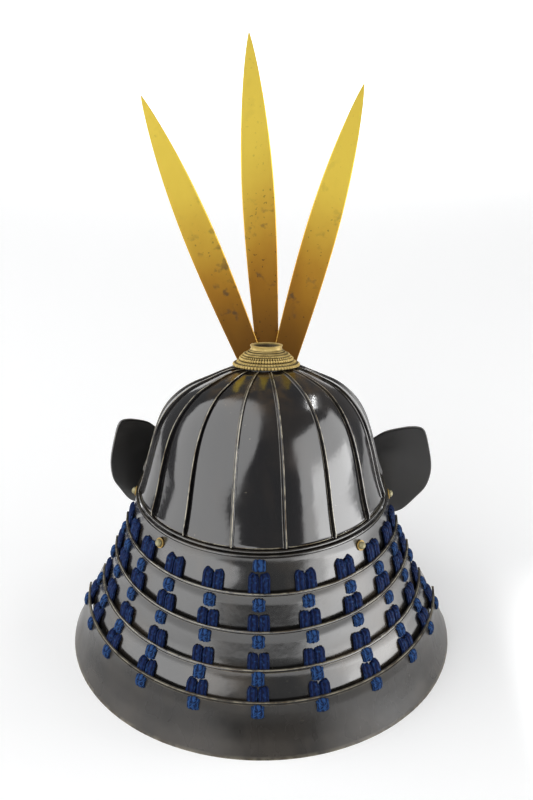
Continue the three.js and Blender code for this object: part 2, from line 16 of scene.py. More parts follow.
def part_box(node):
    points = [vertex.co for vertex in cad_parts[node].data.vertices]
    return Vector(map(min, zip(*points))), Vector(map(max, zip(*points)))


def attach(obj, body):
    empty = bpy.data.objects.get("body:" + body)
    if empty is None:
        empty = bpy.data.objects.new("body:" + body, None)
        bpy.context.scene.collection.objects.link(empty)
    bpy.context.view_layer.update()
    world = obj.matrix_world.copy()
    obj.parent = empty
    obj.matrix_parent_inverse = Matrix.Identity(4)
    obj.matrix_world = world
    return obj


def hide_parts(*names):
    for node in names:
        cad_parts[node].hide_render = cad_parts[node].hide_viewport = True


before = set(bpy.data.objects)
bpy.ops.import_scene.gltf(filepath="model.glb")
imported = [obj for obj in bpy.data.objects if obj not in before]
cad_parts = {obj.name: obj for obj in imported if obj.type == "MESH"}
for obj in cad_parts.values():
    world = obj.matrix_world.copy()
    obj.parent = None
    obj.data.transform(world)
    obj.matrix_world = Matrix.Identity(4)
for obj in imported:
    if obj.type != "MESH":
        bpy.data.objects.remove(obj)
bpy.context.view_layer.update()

# %% [markdown]
# ## Where things are
# Armour is laid out around an upright axis, so its maker thinks in angles and radii. Here an angle counts
# from the back of the helmet towards the wearer's left, heights count from the lower edge of the bowl, and
# all sizes are in millimetres. The waist band's own box tells where that axis stands, so nothing here has
# to be moved by hand if the solids move.

# %% Axis and places
MM = 0.001
BOWL_CENTRE = -2.0
band_low, band_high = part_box("waist_band")
AXIS = Vector((0, (band_low.y + band_high.y) / 2 - BOWL_CENTRE * MM, band_high.z))


def lerp(a, b, t):
    return a + (b - a) * t


def clamp(t):
    return min(max(t, 0.0), 1.0)


def spot(x, y, z):
    return Vector((x, y, z)) * MM + AXIS


def around(angle, radius, height):
    a = math.radians(angle)
    return spot(radius * math.sin(a), radius * math.cos(a), height)


def smooth_row(rows, t):
    """The row of numbers at t, from 0 to 1, on a smooth curve through evenly spaced rows."""
    last = len(rows) - 1
    place = clamp(t) * last
    i = min(int(place), last - 1)
    w = place - i
    near = [rows[min(max(i + k, 0), last)] for k in (-1, 0, 1, 2)]
    out = []
    for p0, p1, p2, p3 in zip(*near):
        v0, v1 = (p2 - p0) / 2, (p3 - p1) / 2
        cubic, square = 2 * p1 - 2 * p2 + v0 + v1, -3 * p1 + 3 * p2 - 2 * v0 - v1
        out.append(cubic * w**3 + square * w**2 + v0 * w + p1)
    return out


def facing(place, towards):
    """Carries the origin to a place, and turns +Z towards a direction."""
    return Matrix.Translation(place) @ towards.to_track_quat("Z", "Y").to_matrix().to_4x4()


def put(name, data):
    """A new object in the scene."""
    made = bpy.data.objects.new(name, data)
    bpy.context.scene.collection.objects.link(made)
    return made


print("axis at", [round(v, 4) for v in AXIS])

# %% [markdown]
# ## Camera
# The photograph looks down on the back of the helmet from about a metre away. The view was worked out
# from the rims and the rib feet, which are known curves. A camera can be turned by hand until things
# line up, but numbers keep the picture and the model in step. The focal length is stated in pixels of a
# picture 533 wide and 800 high, and the small shift is the crop of the picture.

# %% Camera
PICTURE_HEIGHT = 800
FOCAL_PIXELS = 1198.3
SENSOR = 36.0
ROLL = 0.26
CROP_X, CROP_Y = 4.06, -0.39  # pixels
eye, aim = spot(-14.0, 914.6, 484.0), spot(0, 0, 80)
roll = math.radians(ROLL)
forward = (aim - eye).normalized()
level = forward.cross(Vector((0, 0, 1))).normalized()
upright = level.cross(forward)
right = math.cos(roll) * level + math.sin(roll) * upright
up = -math.sin(roll) * level + math.cos(roll) * upright

lens = bpy.data.cameras.new("photo_camera")
lens.sensor_fit = "VERTICAL"
lens.sensor_height = SENSOR
lens.lens = FOCAL_PIXELS * SENSOR / PICTURE_HEIGHT
lens.shift_x, lens.shift_y = CROP_X / PICTURE_HEIGHT, CROP_Y / PICTURE_HEIGHT
camera = put("photo_camera", lens)
camera.matrix_world = Matrix.Translation(eye) @ Matrix((right, up, -forward)).transposed().to_4x4()
bpy.context.scene.camera = camera
print("camera elevation", round(math.degrees(math.asin(-forward.z)), 1), "lens", round(lens.lens, 1))

# %% [markdown]
# ## Writing finishes as sums
# A finish is a tree of nodes. Wiring each Math node by hand hides the idea, so a socket is wrapped in a
# small class: a sum or a product written in Python adds the node. Every other node comes from one method,
# which takes its type, its settings and what goes into its sockets.

# %% Sockets that do sums
class Signal:
    """A socket of a finish; arithmetic on it adds Math nodes."""

    def __init__(self, finish, socket):
        self.finish, self.socket = finish, socket

    def sum(self, operation, *values):
        return self.finish.node("ShaderNodeMath", {"operation": operation}, dict(enumerate(values)))

    def __add__(self, other):
        return self.sum("ADD", self, other)

    __radd__ = __add__

    def __sub__(self, other):
        return self.sum("SUBTRACT", self, other)

    def __rsub__(self, other):
        return self.sum("SUBTRACT", other, self)

    def __mul__(self, other):
        return self.sum("MULTIPLY", self, other)

    def __abs__(self):
        return self.sum("ABSOLUTE", self)

    def wave(self):
        return self.sum("SINE", self)

    def ease(self, low, high):
        """0 below low and 1 above high, with a soft passage; low may be the larger."""
        settings = {"interpolation_type": "SMOOTHSTEP"}
        return self.finish.node("ShaderNodeMapRange", settings, {0: self, 1: low, 2: high, 3: 0.0, 4: 1.0})


class Finish:
    """A material with a Principled shader; fixed values are set on the shader's own sockets."""

    def __init__(self, name, **fixed):
        self.material = bpy.data.materials.new(name)
        self.material.use_nodes = True
        self.tree = self.material.node_tree
        self.shader = self.tree.nodes["Principled BSDF"]
        for socket, value in fixed.items():
            self.shader.inputs[socket.replace("_", " ")].default_value = value

    def node(self, kind, settings=None, inputs=None, output=0):
        made = self.tree.nodes.new(kind)
        for name, value in (settings or {}).items():
            setattr(made, name, value)
        for socket, value in (inputs or {}).items():
            if isinstance(value, Signal):
                self.tree.links.new(value.socket, made.inputs[socket])
            else:
                made.inputs[socket].default_value = value
        return Signal(self, made.outputs[output])

    def place(self, axis=None):
        where = self.node("ShaderNodeTexCoord", output="Object")
        if axis is None:
            return where
        return self.node("ShaderNodeSeparateXYZ", inputs={0: where}, output=axis)

    def uv(self, axis):
        where = self.node("ShaderNodeUVMap", {"uv_map": "UVMap"})
        return self.node("ShaderNodeSeparateXYZ", inputs={0: where}, output=axis)

    def mark(self, name):
        return self.node("ShaderNodeAttribute", {"attribute_name": name}, output="Fac")

    def noise(self, scale, detail=3.0, stretch=(1, 1, 1), offset=0.0):
        where = self.node("ShaderNodeMapping", inputs={0: self.place(), 1: (offset,) * 3, 3: stretch})
        return self.node("ShaderNodeTexNoise", inputs={"Vector": where, "Scale": scale, "Detail": detail})

    def blend(self, factor, a, b):
        four = [(*c, 1.0) if isinstance(c, tuple) else c for c in (a, b)]
        return self.node("ShaderNodeMix", {"data_type": "RGBA"}, {0: factor, 6: four[0], 7: four[1]}, 2)

    def wear_in(self, **inputs):
        for socket, value in inputs.items():
            self.tree.links.new(value.socket, self.shader.inputs[socket.replace("_", " ")])

    def relief(self, height, distance):
        return self.node("ShaderNodeBump", inputs={"Height": height, "Distance": distance, "Strength": 1.0})


print("finishes are ready to write")

# %% [markdown]
# ## Lacquer
# The plates and lames are iron under black lacquer. It is not a flat black: it is smooth enough to mirror
# the lamps, dulled in patches by handling, browned where it is thin, and rubbed through to pale metal on
# every rim and rib. A painted mask for the rubbed edges would need a picture file, so each mesh carries a
# number for wear on its corners, set where the mesh is made, and a noise breaks it up; on the silk cords
# that number carries painted light instead. A second number marks the matt wings, and on the brass it
# carries painted shade in the hollows and crevices.

# %% Lacquer finishes
PALE_EDGE = (0.48, 0.43, 0.31)
BROWN_EDGE = (0.13, 0.085, 0.035)
GRIME, SHADE_BAND, DUST = (0.060, 0.034, 0.010), (0.004, 0.0035, 0.003), (0.062, 0.054, 0.046)
DULL_BLACK, DULL_BROWN = (0.026, 0.025, 0.0245), (0.050, 0.045, 0.038)


def lacquer(name, black, brown, browning, gloss, mirror, dust_and_shade=0.0):
    """Black lacquer on iron; browning and dust are shares of the surface that show them, and dust also
    brings a band of painted shade low down.
    """
    finish = Finish(name, Metallic=0.0, IOR=mirror)
    patches = finish.noise(14, 4, offset=3.0).ease(0.46, 0.74)
    grain = finish.noise(260, 2, offset=8.0)
    streaks = finish.noise(60, 3, (1, 1, 0.12), 5.0).ease(0.5, 0.8)
    field = finish.blend(patches * browning, black, brown)
    field = finish.blend(streaks * (browning * 0.5), field, brown)
    speckled = finish.noise(22, 2, offset=2.0).ease(0.52, 0.66)
    specks = finish.noise(420, 1, offset=11.0).ease(0.76, 0.79) * speckled
    field = finish.blend(specks * 0.25, field, PALE_EDGE)
    under_crown = finish.place("Z").ease(AXIS.z + 0.096, AXIS.z + 0.112)
    grime = under_crown * finish.noise(60, 3, offset=4.0).ease(0.40, 0.66)
    field = finish.blend(grime * 0.8, field, GRIME)
    if dust_and_shade:
        # A dark band a little above the lower edge of the hem is painted shade for its hollow.
        stain_and_shade = finish.place("Z").ease(0.009, 0.015) * finish.place("Z").ease(0.030, 0.021)
        field = finish.blend(stain_and_shade * (1 - patches * 0.6) * 0.75, field, SHADE_BAND)
        low = finish.place("Z").ease(0.035, 0.0) * finish.noise(30, 3, offset=14.0).ease(0.3, 0.65)
        field = finish.blend((low * 0.7 + 0.12) * dust_and_shade, field, DUST)
    rubbed = finish.mark("wear_and_lit") * (finish.noise(150, 3, offset=6.0).ease(0.3, 0.55) * 0.85 + 0.15)
    bare = finish.blend(finish.noise(70, 2, offset=9.0).ease(0.36, 0.56), BROWN_EDGE, PALE_EDGE)
    colour = finish.blend(rubbed, field, bare)
    dull_and_shade = finish.mark("dull_and_shade")
    cloudy = finish.blend(patches, DULL_BLACK, DULL_BROWN)
    colour = finish.blend(dull_and_shade * (1 - rubbed), colour, cloudy)
    handled = patches * 0.10 + streaks * 0.07 + rubbed * 0.15 + dull_and_shade * 0.24
    roughness = gloss + handled + dust_and_shade * 0.05 + grime * 0.12
    skin = finish.noise(9, 2, offset=1.0) * 0.9 + grain * 0.012 + finish.noise(38, 3, offset=7.0) * 0.26
    finish.wear_in(Base_Color=colour, Roughness=roughness, Normal=finish.relief(skin, 0.0016))
    return finish.material


bowl_lacquer = lacquer(
    "bowl_lacquer", (0.005, 0.0045, 0.005), (0.022, 0.015, 0.010), browning=0.7, gloss=0.12, mirror=1.9
)
lame_lacquer = lacquer(
    "lame_lacquer", (0.009, 0.0085, 0.008), (0.046, 0.033, 0.020), browning=0.9, gloss=0.17, mirror=2.05
)
hem_lacquer = lacquer(
    "hem_lacquer", (0.022, 0.021, 0.020), (0.048, 0.040, 0.031), browning=0.9, gloss=0.23, mirror=1.42,
    dust_and_shade=0.8,
)
print("lacquers:", bowl_lacquer.name, lame_lacquer.name, hem_lacquer.name)

# %% [markdown]
# ## Gilding, brass and silk
# The crest is gilded metal: lemon yellow at the top, sinking to orange brown towards the foot, with dark
# spots where damp got under the gold; the middle of the crest is painted darker as shade and the outer part
# of the right blade lighter as light. The crown fitting is a warm, dulled brass, the rivets a paler one,
# and both get painted shade in their hollows. The cords are braided silk, a deep indigo, painted lighter
# on the knots as light and darker on the pairs as shade, with painted shade in the grooves of the braid.
# The braid is a pattern on the cord's own map, so it follows each bend.

# %% Gilt, brass and silk finishes
CREST_FOOT, CREST_TIP = AXIS.z + 0.02, AXIS.z + 0.36


def gilding():
    finish = Finish("worn_gilding", IOR=1.5)
    # The middle of the crest is painted darker as shade and the outer part of the right blade lighter as
    # light; with that, the colour sinks from lemon at the top to brown at the foot.
    shaded_middle = abs(finish.place("X") + 0.006).ease(0.034, 0.014)
    rise = finish.place("Z") - shaded_middle * 0.022 + finish.place("X").ease(-0.02, -0.06) * 0.018
    cloud = finish.noise(20, 4, (1, 1, 0.6), 2.0)
    towards_foot = (rise + (cloud - 0.5) * 0.09).ease(CREST_TIP - 0.08, CREST_FOOT + 0.10)
    colour = finish.blend(towards_foot, (1.0, 0.74, 0.10), (0.50, 0.225, 0.020))
    foot = (rise + (cloud - 0.5) * 0.07).ease(CREST_FOOT + 0.15, CREST_FOOT + 0.05)
    colour = finish.blend(foot * 0.8, colour, (0.17, 0.070, 0.012))
    stained = finish.noise(26, 2, offset=7.0).ease(0.44, 0.58) * (towards_foot * 0.8 + 0.06)
    stain_and_shade = finish.noise(95, 5, offset=4.0).ease(0.55, 0.68) * stained
    spots = finish.noise(330, 1, offset=9.0).ease(0.70, 0.74) * (towards_foot * 0.6 + 0.1)
    colour = finish.blend(stain_and_shade, colour, (0.055, 0.03, 0.012))
    colour = finish.blend(spots, colour, (0.06, 0.035, 0.015))
    colour = finish.blend(finish.mark("wear_and_lit") * 0.8, colour, (0.85, 0.52, 0.07))
    metallic = 0.65 - stain_and_shade * 0.4 - foot * 0.1
    roughness = 0.36 + towards_foot * 0.08 + stain_and_shade * 0.2
    brushed = finish.noise(300, 2, (1, 1, 0.05), 3.0) * 0.25 + finish.noise(25, 2, offset=5.0)
    finish.wear_in(
        Base_Color=colour, Metallic=metallic, Roughness=roughness, Normal=finish.relief(brushed, 0.0004)
    )
    return finish.material


def old_brass():
    finish = Finish("old_brass", Metallic=0.25, IOR=1.45)
    tarnish = finish.noise(160, 3, offset=2.0).ease(0.40, 0.66)
    colour = finish.blend(tarnish, (0.62, 0.465, 0.17), (0.44, 0.315, 0.10))
    # The hollows and undersides of the rings are painted near black as shade.
    hollow_shade = finish.mark("dull_and_shade")
    colour = finish.blend(hollow_shade * 0.96, colour, (0.022, 0.015, 0.006))
    grain = finish.noise(700, 2, offset=5.0)
    roughness = 0.42 + tarnish * 0.15 + hollow_shade * 0.2
    finish.wear_in(Base_Color=colour, Roughness=roughness, Normal=finish.relief(grain, 0.0002))
    return finish.material


def pale_brass():
    finish = Finish("pale_brass", Metallic=0.4, IOR=1.45)
    dull_and_shade = finish.noise(180, 3, offset=1.0).ease(0.36, 0.64)
    colour = finish.blend(dull_and_shade, (0.33, 0.30, 0.17), (0.20, 0.175, 0.09))
    colour = finish.blend(finish.mark("wear_and_lit"), colour, (0.42, 0.27, 0.075))
    # Painted shade darkens the crevice where each rivet's dome meets its washer.
    colour = finish.blend(finish.mark("dull_and_shade"), colour, (0.03, 0.022, 0.01))
    finish.wear_in(Base_Color=colour, Roughness=0.38 + dull_and_shade * 0.15)
    return finish.material


TURNS_PER_METRE, PLAITS = 1500, 8


def braided_silk():
    finish = Finish("braided_silk", IOR=1.22)
    across, along = finish.uv("X"), finish.uv("Y")
    turns = (along * TURNS_PER_METRE + abs(across - 0.5) * 20).wave()
    plait = (across * (2 * math.pi * PLAITS) + turns * 0.5).wave()
    ridge = plait * 0.75 + turns * 0.25
    # This mark is painted light: it lifts the knots to a lighter blue, while the pairs keep the darker,
    # shaded indigo.
    lit_share = finish.mark("wear_and_lit")
    colour = finish.blend(lit_share, (0.0050, 0.016, 0.072), (0.020, 0.066, 0.200))
    # The grooves between the plaits are painted near black as shade.
    colour = finish.blend(ridge.ease(0.25, -0.6) * 0.9, colour, (0.002, 0.004, 0.022))
    fluff = finish.noise(420, 2, offset=3.0).ease(0.54, 0.70) * 0.4
    colour = finish.blend(fluff, colour, (0.025, 0.085, 0.22))
    roughness = 0.62 + finish.noise(90, 2, offset=6.0) * 0.2
    finish.wear_in(Base_Color=colour, Roughness=roughness, Normal=finish.relief(ridge, 0.0005))
    return finish.material


worn_gilding, soft_brass, rivet_brass, blue_silk = gilding(), old_brass(), pale_brass(), braided_silk()
print("finishes:", worn_gilding.name, soft_brass.name, blue_silk.name)

# %% [markdown]
# ## One way to make a wall
# Nearly every piece of a helmet is a strip of metal with a shaped section. It could be extruded face by
# face, but a bent sheet is easier as a flat grid that is laid on its surface: a grid starts flat, with a
# map of its own, and each corner is carried to its place. The grid's first and last columns meet, so the
# section closes, and the two open ends are filled.

# %% Sweeping a section
def laid_grid(bm, columns, stations, corner):
    """Adds a grid whose corners are carried to corner(column, station), a place and its marks."""
    made = bmesh.ops.create_grid(
        bm, x_segments=columns, y_segments=stations - 1, size=0.5, calc_uvs=True
    )["verts"]
    wear_and_lit, dull_and_shade = bm.verts.layers.float["wear_and_lit"], bm.verts.layers.float["dull_and_shade"]
    for v in made:
        column = round((v.co.x + 0.5) * columns) % columns
        station = round((v.co.y + 0.5) * (stations - 1))
        place, marks = corner(column, station)
        v.co = place
        v[wear_and_lit], v[dull_and_shade] = marks
    bmesh.ops.remove_doubles(bm, verts=made, dist=1e-7)


def new_mesh():
    bm = bmesh.new()
    bm.loops.layers.uv.new("UVMap")
    bm.verts.layers.float.new("wear_and_lit")
    bm.verts.layers.float.new("dull_and_shade")
    return bm


def close_ends(bm):
    bmesh.ops.holes_fill(bm, edges=[e for e in bm.edges if e.is_boundary], sides=0)


def wall(columns, stations, corner):
    bm = new_mesh()
    laid_grid(bm, columns, stations, corner)
    close_ends(bm)
    return bm


def mesh_object(bm, name, material):
    mesh = bpy.data.meshes.new(name)
    bm.to_mesh(mesh)
    bm.free()
    mesh.materials.append(material)
    return put(name, mesh)


def add_piece(bm, name, material, nodes=(), sharp=35):
    """Turns a finished bmesh into a piece that rides on the helmet and stands for some nodes."""
    bmesh.ops.recalc_face_normals(bm, faces=bm.faces)
    piece = mesh_object(bm, name, material)
    piece.data.polygons.foreach_set("use_smooth", [True] * len(piece.data.polygons))
    piece.data.set_sharp_from_angle(angle=math.radians(sharp))
    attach(piece, "root")
    if nodes:
        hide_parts(*nodes)
    return piece


print("one grid, many walls")

# %% [markdown]
# ## The bowl
# Sixteen plates overlap, and one side edge of each is turned up into a standing rib. They could be cut
# from one smooth dome with lines drawn on it, but the light on a real bowl breaks at each plate, because
# every plate is hammered a little rounder than the whole. So each plate is its own wall: rib, fine roll
# beside it, crowned field, and a rolled lower edge.

# %% Shape of the bowl
PLATES = 16
HALF_WIDTH, HALF_LENGTH = 104.0, 111.0
PLATE_THICKNESS = 1.5
GAP = 0.3
CROWN_SLOPE, CROWN_SLOPE_TOWARDS = 0.68, -8.0
CROWN_SHIFT = -3.0
BOWL_PROFILE = [  # share of the radius of the lower edge, and height
    (1.0, 0.8), (0.95, 17), (0.887, 43.5), (0.822, 63.5), (0.735, 78.5),
    (0.605, 91.5), (0.45, 100.2), (0.29, 107.8), (0.19, 109.4),
]


def bowl_radius(angle):
    a = math.radians(angle)
    x, y = math.sin(a) / HALF_WIDTH, math.cos(a) / HALF_LENGTH
    middle = BOWL_CENTRE / HALF_LENGTH
    square, half, rest = x * x + y * y, y * middle, middle * middle - 1
    return (half + math.sqrt(half * half - square * rest)) / square


def on_bowl(angle, rise, out=0.0):
    share, height = smooth_row(BOWL_PROFILE, rise)
    before, after = smooth_row(BOWL_PROFILE, rise - 1e-3), smooth_row(BOWL_PROFILE, rise + 1e-3)
    run, climb = (after[0] - before[0]) * HALF_WIDTH, after[1] - before[1]
    length = math.hypot(run, climb)
    radius = bowl_radius(angle)
    place = around(angle, radius * share + out * climb / length, height - out * run / length)
    tilt = CROWN_SLOPE * share**2 * (1 - share) * (2 - share)
    place.z += tilt * radius * math.cos(math.radians(angle - CROWN_SLOPE_TOWARDS)) * MM
    place.x += 1.5 * CROWN_SHIFT * (1 - share) ** 2 * MM
    return place


print("bowl is", 2 * HALF_WIDTH, "by", 2 * HALF_LENGTH, "mm at its lower edge")

# %% Plates
RIB_HEIGHT, RIB_THICKNESS, RIB_TAPER = 3.4, 1.3, 0.3
PLATE_BULGE = 0.7
FOOT_STATIONS = [0, 0.003, 0.006, 0.009, 0.013, 0.017, 0.022, 0.03, 0.045]
PLATE_STATIONS = FOOT_STATIONS + [0.07 + 0.93 * i / 36 for i in range(37)]


def plate_section(width, tall, rise):
    """Corners of a plate's section: distance from its left edge, distance out, and wear."""
    foot = max(0.0, 1 - abs(rise - 0.006) / 0.005)
    roll = 0.8 * max(0.0, 1 - abs(rise - 0.010) / 0.008)
    rib = [
        (0.0, tall - 0.75, 0), (0.0, tall - 0.3, 0.25), (0.2, tall - 0.05, 0.85), (0.6, tall, 0.7),
        (0.95, tall - 0.05, 0.05), (RIB_THICKNESS, tall - 0.35, 0),
    ]
    bead = [(1.35, 0.1, 0), (1.9, 0.0, 0), (2.15, 0.3, 0.5), (2.45, 0.3, 0.2), (2.8, 0.0, 0)]
    field = []
    for share in (0.08, 0.2, 0.35, 0.5, 0.65, 0.8, 0.92):
        at = lerp(2.8, width - 0.3, share)
        field.append((at, PLATE_BULGE * (1 - rise) * math.sin(math.pi * share) + roll, foot))
    edge = [(width - 0.3, 0.0, 0), (width, -0.25, 0), (width, -PLATE_THICKNESS, 0)]
    inside = [(width * share, -PLATE_THICKNESS, 0) for share in (0.8, 0.6, 0.4, 0.2, 0)]
    return rib + bead + field + edge + inside + [(0.0, 0.0, 0)]


def plate(number):
    pitch = 360 / PLATES
    left = (number - 0.5) * pitch

    def corner(column, station):
        rise = PLATE_STATIONS[station]
        radius = bowl_radius(left) * smooth_row(BOWL_PROFILE, rise)[0]
        per_mm = 180 / (math.pi * radius)
        width = pitch / per_mm - GAP
        tall = RIB_HEIGHT * lerp(1, RIB_TAPER, rise) * lerp(0.7, 1, clamp(rise / 0.03))
        across, out, wear_and_lit = plate_section(width, tall, rise)[column]
        return on_bowl(left + (across + GAP / 2) * per_mm, rise, out), (wear_and_lit, 0.0)

    bm = wall(len(plate_section(40, 3, 0)), len(PLATE_STATIONS), corner)
    node = "bowl_plate_%02d" % (number + 1)
    return add_piece(bm, node + "_lacquered", bowl_lacquer, [node])


plates = [plate(number) for number in range(PLATES)]
print(len(plates), "plates,", len(plates[0].data.polygons), "faces each")

# %% [markdown]
# ## The waist band
# An upright ring joins the bowl to the neck guard. Only its rolled lip shows, as a dark roll under the
# plates. A full turn of one section makes it, so it is a sweep that meets itself.

# %% Waist band
BAND_HEIGHT, BAND_INSET, LIP_HEIGHT, LIP_REACH = 18.0, 0.4, 2.0, 2.4
BAND_SECTION = [  # out from the foot of the plates, height, wear
    (-2.0, 0.0, 0), (0.2, 0.0, 0), (1.2, 0.0, 0), (1.9, -0.1, 0.1), (2.25, -0.3, 0.05),
    (LIP_REACH, -0.9, 0.05), (2.3, -1.4, 0.1), (1.9, -1.8, 0), (1.2, -LIP_HEIGHT, 0),
    (-BAND_INSET, -LIP_HEIGHT, 0), (-BAND_INSET, -BAND_HEIGHT, 0), (-2.0, -BAND_HEIGHT, 0),
]


def ring_of(section, steps, place):
    """A section swept through a full turn, with place(angle, corner of the section)."""
    bm = new_mesh()

    def corner(column, station):
        return place(360 / steps * (station % steps), section[column])

    laid_grid(bm, len(section), steps + 1, corner)
    return bm


def on_band(angle, corner):
    out, height, wear_and_lit = corner
    return around(angle, bowl_radius(angle) + out, height), (wear_and_lit, 0.0)


bm = ring_of(BAND_SECTION, 144, on_band)
waist_band = add_piece(bm, "waist_band_lacquered", lame_lacquer, ["waist_band"])
print("waist band:", len(waist_band.data.polygons), "faces")

# %% [markdown]
# ## The neck guard
# Five lames flare out below the bowl, each hung outside the one above. Their upper edges are rolled to a
# fine double line. Each rim is an ellipse whose height differs a little between side and back, so the rims
# are stated as a table, and every lame is the straight wall between two of them.

# %% Shape of the lames
RIMS = [  # half width, reach to the back, height at the side, height at the back
    (107.4, 112.0, -3.2, -3.2), (116.8, 127.2, -25.6, -28.6), (127.1, 138.9, -49.3, -55.6),
    (139.1, 150.7, -77.8, -82.7), (152.6, 165.2, -96.9, -102.3), (167.5, 184.2, -142.3, -142.3),
]
LAME_THICKNESS, LAME_SPACING, LAME_LAP = 1.6, 3.6, 12.0
HEM_HOLLOW = 2.0
LAME_END_TOP, LAME_END_BOTTOM = 88.0, 95.0
LOWEST = 4


def rim_height(lame, angle):
    back = max(0.0, math.cos(math.radians(angle)))
    return lerp(RIMS[lame][2], RIMS[lame][3], back * back)


def rim_radius(lame, angle):
    a = math.radians(angle)
    return 1 / math.hypot(math.sin(a) / RIMS[lame][0], math.cos(a) / RIMS[lame][1])


def fall_share(lame, angle, height):
    """How far a height lies on the way from a lame's rim, 0, down to the next rim, 1."""
    top, following = rim_height(lame, angle), rim_height(lame + 1, angle)
    return (top - height) / (top - following)


def lame_radius(lame, angle, height):
    """Radius of a lame's outer face at an angle and a height."""
    fall = fall_share(lame, angle, height)
    upper, lower = rim_radius(lame, angle), rim_radius(lame + 1, angle)
    if lame == LOWEST:
        return lerp(upper, lower, fall) - HEM_HOLLOW * math.sin(math.pi * clamp(fall))
    spacing = LAME_THICKNESS + LAME_SPACING
    if fall > 1:
        return lame_radius(lame + 1, angle, height) - spacing
    return lerp(upper, lower - spacing, fall)


def lame_bottom(lame, angle):
    return rim_height(lame + 1, angle) - (0 if lame == LOWEST else LAME_LAP)


# Corners of a lame's section: how it is measured, how far, distance out, wear. The roll along the upper
# edge and the rounded lower edge keep their size, and the wall between them is shared out.
ROLL_DEPTH, EDGE_DEPTH = 2.7, 0.6
FROM_TOP, SHARE, FROM_BOTTOM = "from top", "share", "from bottom"
LAME_SECTION = [
    (FROM_TOP, 0.6, -1.6, 0), (FROM_TOP, 0.1, -1.5, 0.1), (FROM_TOP, 0, -0.7, 0.05),
    (FROM_TOP, 0, 0, 0.35), (FROM_TOP, 0.3, 0.35, 0.65), (FROM_TOP, 0.6, 0.25, 0.1),
    (FROM_TOP, 0.85, -0.45, 0), (FROM_TOP, 1.75, -0.5, 0), (FROM_TOP, 1.95, 0.22, 0.15),
    (FROM_TOP, 2.3, 0.22, 0.1), (FROM_TOP, ROLL_DEPTH, 0, 0),
    *[(SHARE, share, 0, 0) for share in (0.2, 0.35, 0.5, 0.65, 0.8, 0.94)],
    (FROM_BOTTOM, EDGE_DEPTH, 0, 0.2), (FROM_BOTTOM, 0.1, -0.1, 0.6), (FROM_BOTTOM, 0, -0.6, 0.5),
    (FROM_BOTTOM, 0, -1.4, 0.2), (FROM_BOTTOM, EDGE_DEPTH, -1.6, 0),
    *[(SHARE, share, -1.6, 0) for share in (0.75, 0.5, 0.25)],
]


def corner_height(corner, top, bottom):
    how, amount = corner[:2]
    if how == FROM_TOP:
        return top - amount
    if how == FROM_BOTTOM:
        return bottom + amount
    return lerp(top - ROLL_DEPTH, bottom + EDGE_DEPTH, amount)


print("rims at the back:", [rim[3] for rim in RIMS])

# %% The four lower lames
LAME_STATIONS = 133


def end_angle(lame, height, angle):
    """How far forward a lame reaches at a height: its lower edge reaches further."""
    level = fall_share(lame, angle, height)
    if lame != LOWEST:
        lapped = (rim_height(lame + 1, angle) - height) / LAME_LAP
        level = 0.5 * level if level < 1 else 0.5 + 0.5 * lapped
    return lerp(LAME_END_TOP, LAME_END_BOTTOM, clamp(level))


def lower_lame(lame, material):
    def corner(column, station):
        side = 2 * station / (LAME_STATIONS - 1) - 1
        rough_angle = side * (LAME_END_TOP + LAME_END_BOTTOM) / 2
        row = LAME_SECTION[column]
        height = corner_height(row, rim_height(lame, rough_angle), lame_bottom(lame, rough_angle))
        angle = side * end_angle(lame, height, rough_angle)
        wear_and_lit = 0.8 if abs(side) > 0.999 else row[3]
        return around(angle, lame_radius(lame, angle, height) + row[2], height), (wear_and_lit, 0.0)

    bm = wall(len(LAME_SECTION), LAME_STATIONS, corner)
    node = "neck_lame_%d" % (lame + 1)
    return add_piece(bm, node + "_lacquered", material, [node])


lames = [lower_lame(lame, hem_lacquer if lame == LOWEST else lame_lacquer) for lame in (1, 2, 3, 4)]
print(len(lames), "lower lames,", len(lames[0].data.polygons), "faces each")

# %% [markdown]
# ## The first lame and its wings
# The ends of the uppermost lame leave the curve, run forward beside the bowl, and fold sharply outward
# and back into two flat wings. A wing could be a separate plate, but on the real helmet it is the same
# sheet, so the sweep simply goes on: first the right wing, then the curve, then the left wing.

# %% First lame
WING_START, FOLD_RADIUS, WING_LEAN = 98.0, 2.5, 0.25
WINGS = [(1, 42, 49.5, 4.5), (-1, 22, 56.3, -4.5)]  # side, turn, reach, lift
WING_RUN = [  # angle, distance from the curve, upper edge, lower edge
    (98, 0, -3.2, -37.6), (106, 1.2, -3.2, -39), (112, 2.7, -3.2, -42), (116.5, 3.7, 2, -46),
    (121, 4.1, 17, -51),
]
WING_OUTLINE = [  # share of the reach, upper edge, lower edge
    (0, 17, -51), (0.05, 20, -55), (0.3, 30, -48.5), (0.6, 37, -32),
    (0.8, 40.3, -19.5), (0.93, 40.6, -5), (0.985, 38, 8), (1.0, 32.5, 24),
]
ARC_STEPS, RUN_STEPS, FOLD_STEPS, WING_STEPS = 140, 24, 12, 42


def on_arc(angle):
    return lambda height, out: around(angle, lame_radius(0, angle, height) + out, height)


def on_wing(side, x, y, heading):
    def place(height, out):
        lean = WING_LEAN * (height - RIMS[0][2])
        return spot(side * (x + out * math.cos(heading) - lean), y + out * math.sin(heading), height)
    return place


def between(first, second, share):
    return lambda height, out: first(height, out).lerp(second(height, out), share)


